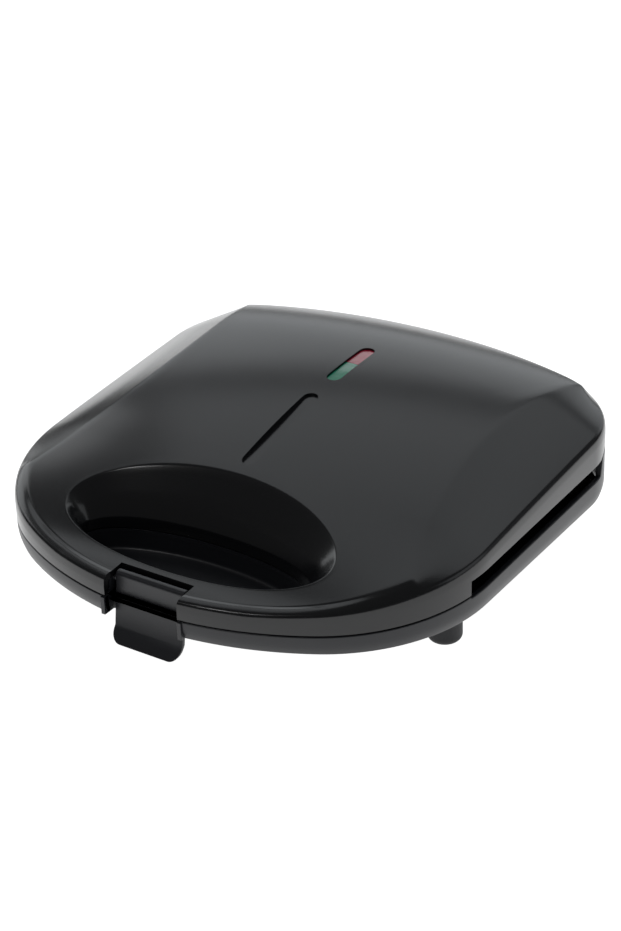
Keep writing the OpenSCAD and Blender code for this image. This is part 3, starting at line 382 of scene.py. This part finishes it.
# ---------- lid shell ----------
def lid_shell():
    """Lid cover as one closed loft, from the finger opening's inside over the crown to the rim and back."""
    c = crease_points()
    f = well_points(FINGER_A, FINGER_B, 0, True)
    fo = well_points(FINGER_A, FINGER_B, 1.7, True)
    fi = well_points(FINGER_A, FINGER_B, WALL, True)
    w = well_points(WELL_A, WELL_B, 0, False)
    wo = well_points(WELL_A, WELL_B, WALL, False)
    e, b, wi = outline(DRAFT), outline(0), outline(WALL)
    rz, low = rim_z(e[:, 1]), lid_low(b[:, 1])
    top = lambda p: lid_top(p[:, 0], p[:, 1])
    on = lambda p, drop: lift(p, top(p) - drop)
    mix = lambda p, q, t: p * (1 - t) + q * t
    cz = top(c)
    zt = top(f)
    ctrl, radii = [], {}

    def add(p, r=0):
        if np.any(r):
            radii[len(ctrl)] = r
        ctrl.append(p)
    add(lift(w, LID_LOW_Z), 0.4)
    add(lift(w, LEDGE_Z), 1.2)
    add(lift(mix(w, f, 0.42), mix(LEDGE_Z, zt, 0.48)), 3)
    add(lift(f, zt - 1.6), 1.0)
    add(on(fo, -0.05), 1.1)
    for t in np.linspace(0.04, 0.96, 16):
        add(on(mix(fo, c, t), 0))
    dist = np.linalg.norm(c - e, axis=1)
    add(lift(c, cz - 0.1), np.clip(dist * 0.4, 0.5, 9))
    add(lift(mix(c, e, 0.5), mix(cz, rz, 0.5) + 0.5), np.clip(dist * 0.2, 0.3, 4))
    add(lift(outline(DRAFT * 0.4), rz), 2.6)
    add(lift(b, np.maximum(low + 0.3, rz - 4)), 0.8)
    add(lift(b, low), 0.3)
    add(lift(wi, low), 0.3)
    add(lift(outline(WALL + 0.4), np.maximum(low + 0.3, rz - 3.4)), 0.5)
    add(lift(mix(c, e, 0.5), mix(cz, rz, 0.5) - WALL * 1.1))
    add(on(c * 0.985, WALL + 0.3))
    for t in (0.8, 0.5, 0.25):
        add(on(mix(fo, c, t), WALL))
    add(on(fi, WALL + 0.4))
    add(lift(mix(wo, fi, 0.42), mix(LEDGE_Z, zt, 0.48)))
    add(lift(wo, LEDGE_Z))
    add(lift(wo, LID_LOW_Z))
    obj = grid_mesh("lid_shell", rounded(np.array(ctrl), radii))
    finish_mesh(obj, gloss)
    notch = box_loop(-NOTCH_HALF, NOTCH_HALF, at(-4), at(NOTCH_BACK))
    cut(obj,
        prism("notch", notch, 20, 50),
        spine_tool("window", stadium(SLIT_W, WINDOW_D, WINDOW_L), WINDOW_CUT),
        spine_tool("groove", stadium(SLIT_W, GROOVE_D, GROOVE_L), GROOVE_CUT))
    finish_mesh(obj, gloss, 32, 0.35)
    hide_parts("lid_cover")
    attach(obj, "lid")
    return obj


# ---------- base shell, without the CAD part's knuckles, rear deck and bosses ----------
def well_loop(grow, n=96):
    t = np.linspace(0, 2 * math.pi, n, endpoint=False)
    return np.stack([(WELL_A + grow) * np.cos(t), WELL_Y + (WELL_B + grow) * np.sin(t)], 1)


def base_band():
    """Wall round the base, without the notch for the clip."""
    o, i, d, di = outline(0), outline(WALL), outline(DRAFT), outline(DRAFT + 1.5)
    top = base_high(o[:, 1])
    ctrl = [lift(di, BAND_BOTTOM), lift(d, BAND_BOTTOM), lift(o, BAND_BOTTOM + 4), lift(o, top), lift(i, top),
            lift(i, BAND_BOTTOM + 5)]
    obj = grid_mesh("base_band", rounded(np.array(ctrl), {0: 0.3, 1: 0.6, 2: 2, 3: 0.6, 4: 0.3}, 4))
    finish_mesh(obj, satin)
    notch = box_loop(-NOTCH_HALF, NOTCH_HALF, at(-4), at(NOTCH_IN))
    cut(obj, prism("notch", notch, 0, 30))
    finish_mesh(obj, satin, 32, 0.25)
    return obj


def slab(name, outer, holes, z0, z1, mat):
    """Flat piece between two heights, with holes right through it."""
    obj = prism(name, outer, z0, z1)
    tools = [prism("t%d" % i, h, z0 - 1, z1 + 1) for i, h in enumerate(holes)]
    if tools:
        cut(obj, *tools)
    finish_mesh(obj, mat, 30, 0.2)
    return obj


def recess():
    """Oval cup under the lid's finger opening."""
    z, zt = WELL_FLOOR_Z, BASE_TOP_Z
    ctrl = [lift(well_loop(WALL), zt - 1), lift(well_loop(0), zt - 1), lift(well_loop(0), z), lift(well_loop(-7), z)]
    rows = rounded(np.array(ctrl + [lift(well_loop(-7), z - 2), lift(well_loop(WALL), z - 2)]), {2: 2.2, 5: 1.2}, 6)
    cup = grid_mesh("finger_recess", rows)
    floor = prism("recess_floor", well_loop(-6.9), z - 2, z)
    for o in (cup, floor):
        finish_mesh(o, satin, 32)
    return [cup, floor]


def box_loop(x0, x1, y0, y1):
    return [(x0, y0), (x1, y0), (x1, y1), (x0, y1)]


def base_shell():
    """Band, front deck, notch walls and finger recess, which stand for base_housing."""
    band = base_band()
    inner = outline(WALL - 0.2)
    k = int(np.argmax(inner[:, 1] > at(SLOT_D) - 1))
    front = np.concatenate([inner[len(inner) - k + 1:], inner[:k]])
    holes = [well_loop(0.2), box_loop(-NOTCH_HALF - 2, NOTCH_HALF + 2, at(-4), at(NOTCH_IN + 2)),
             box_loop(-103.5, 103.5, at(66), at(80))]
    deck = slab("base_deck", front, holes, BASE_TOP_Z - 2.6, BASE_TOP_Z - 0.1, satin)
    x, y0, y1 = NOTCH_HALF + 2, at(0.4), at(NOTCH_IN + 2)
    wall = [(-x, y1), (-x, y0), (-x + 2, y0), (-x + 2, y1 - 2), (x - 2, y1 - 2), (x - 2, y0), (x, y0), (x, y1)]
    pocket = slab("notch_wall", wall, [], BAND_BOTTOM, BASE_TOP_Z - 0.1, satin)
    return [band, deck, pocket] + recess()


def clip():
    """Folded clip, extruded from its profile: rolled top, leaning face, flared tab with rounded corners."""
    eye, r, t = (at(10.1), 28.0), 2.5, 2.0
    face_d = lambda z: 7.6 - 3.0 * (28.0 - z) / (28.0 - 8.4)
    arc = lambda c, r, a0, a1, n: [(c[0] + r * math.cos(a), c[1] + r * math.sin(a))
                                   for a in np.radians(np.linspace(a0, a1, n))]
    fold, hook_z = at(face_d(8.4)), 21.0
    prof = arc((eye[0], 32.4 - r), r, 90, 0, 10) + arc(eye, r, 0, -100, 12)
    prof += [(at(face_d(24.0)) + t, 24.0), (at(face_d(hook_z)) + t, hook_z),
             (fold + t, 8.4), (fold + t - 4.6, 2.0), (fold - 4.6, 2.0), (fold, 8.4), (at(7.6), 28.0)]
    prof += arc((at(7.6) + 2.2, 30.2), 2.2, 180, 90, 10)
    obj = prism("clip_body", prof, -17.5, 17.5, "x")
    tools = []
    for s in (-1, 1):
        c = (s * 12.5, 7.0)
        loop = [(s * 19, 1), (s * 19, 7)] + [(c[0] + s * 5 * math.cos(a), c[1] - 5 * math.sin(a))
                                            for a in np.linspace(0, math.pi / 2, 10)] + [(s * 12.5, 1)]
        n = len(loop)
        me = bpy.data.meshes.new("corner")
        pts = [(x * MM, y * MM, z * MM) for y in (at(-12), at(12)) for x, z in loop]
        faces = [(j, (j + 1) % n, n + (j + 1) % n, n + j) for j in range(n)]
        me.from_pydata(pts, [], faces + [tuple(range(n))[::-1], tuple(range(n, 2 * n))])
        face_outward(me)
        tool = bpy.data.objects.new("corner", me)
        scene.collection.objects.link(tool)
        tools.append(tool)
    cut(obj, *tools)
    finish_mesh(obj, clip_black, 28, 0.5)
    return obj


def area(name, loc, target, size, power, colour=(1, 1, 1)):
    data = bpy.data.lights.new(name, "AREA")
    data.shape = "RECTANGLE"
    data.size, data.size_y = size
    data.energy = power
    data.color = colour
    obj = bpy.data.objects.new(name, data)
    scene.collection.objects.link(obj)
    obj.location = loc
    obj.rotation_euler = (Vector(target) - Vector(loc)).to_track_quat("-Z", "Y").to_euler()


make_camera()
lid_shell()
folded = clip()
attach(folded, "latch")
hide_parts("latch_clip")
shells = base_shell()
for o in shells:
    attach(o, "base")
    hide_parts("base_housing")

# floor, world and lights
mesh = bpy.data.meshes.new("floor")
mesh.from_pydata([(-6, -6, 0), (6, -6, 0), (6, 6, 0), (-6, 6, 0)], [], [(0, 1, 2, 3)])
floor = bpy.data.objects.new("floor", mesh)
scene.collection.objects.link(floor)
white = material("floor_white", (0.9, 0.9, 0.9), 0.9, mottle=0.01, spec=0.0)
glow = white.node_tree.nodes["Principled BSDF"].inputs
glow["Emission Color"].default_value = (1, 1, 1, 1)
tree = white.node_tree
path = tree.nodes.new("ShaderNodeLightPath")
seen = tree.nodes.new("ShaderNodeMath")
seen.operation = "MAXIMUM"
tree.links.new(path.outputs["Is Camera Ray"], seen.inputs[0])
tree.links.new(path.outputs["Is Glossy Ray"], seen.inputs[1])
also = tree.nodes.new("ShaderNodeMath")
also.operation = "MAXIMUM"
tree.links.new(seen.outputs["Value"], also.inputs[0])
tree.links.new(path.outputs["Is Transmission Ray"], also.inputs[1])
tree.links.new(also.outputs["Value"], glow["Emission Strength"])
mesh.materials.append(white)
world = bpy.data.worlds.new("world")
scene.world = world
world.use_nodes = True
world.node_tree.nodes["Background"].inputs["Color"].default_value = (1, 1, 1, 1)
world.node_tree.nodes["Background"].inputs["Strength"].default_value = 0.10
area("back", (-0.9, 3.2, 1.2), (0, 0, 0.05), (5.0, 1.7), 26, (0.93, 0.97, 1.0))
area("overhead", (-0.5, 1.7, 2.5), (0, 0, 0.05), (3.6, 1.7), 15, (0.93, 0.97, 1.0))
area("left", (-2.6, 0.7, 1.1), (0, 0, 0.05), (1.6, 1.6), 13, (0.95, 0.98, 1.0))
area("right", (2.4, 1.2, 1.3), (0, 0, 0.05), (1.6, 1.6), 5, (0.93, 0.97, 1.0))
area("front_left", (-0.55, -1.6, 2.1), (0, 0, 0.05), (0.35, 0.5), 5)
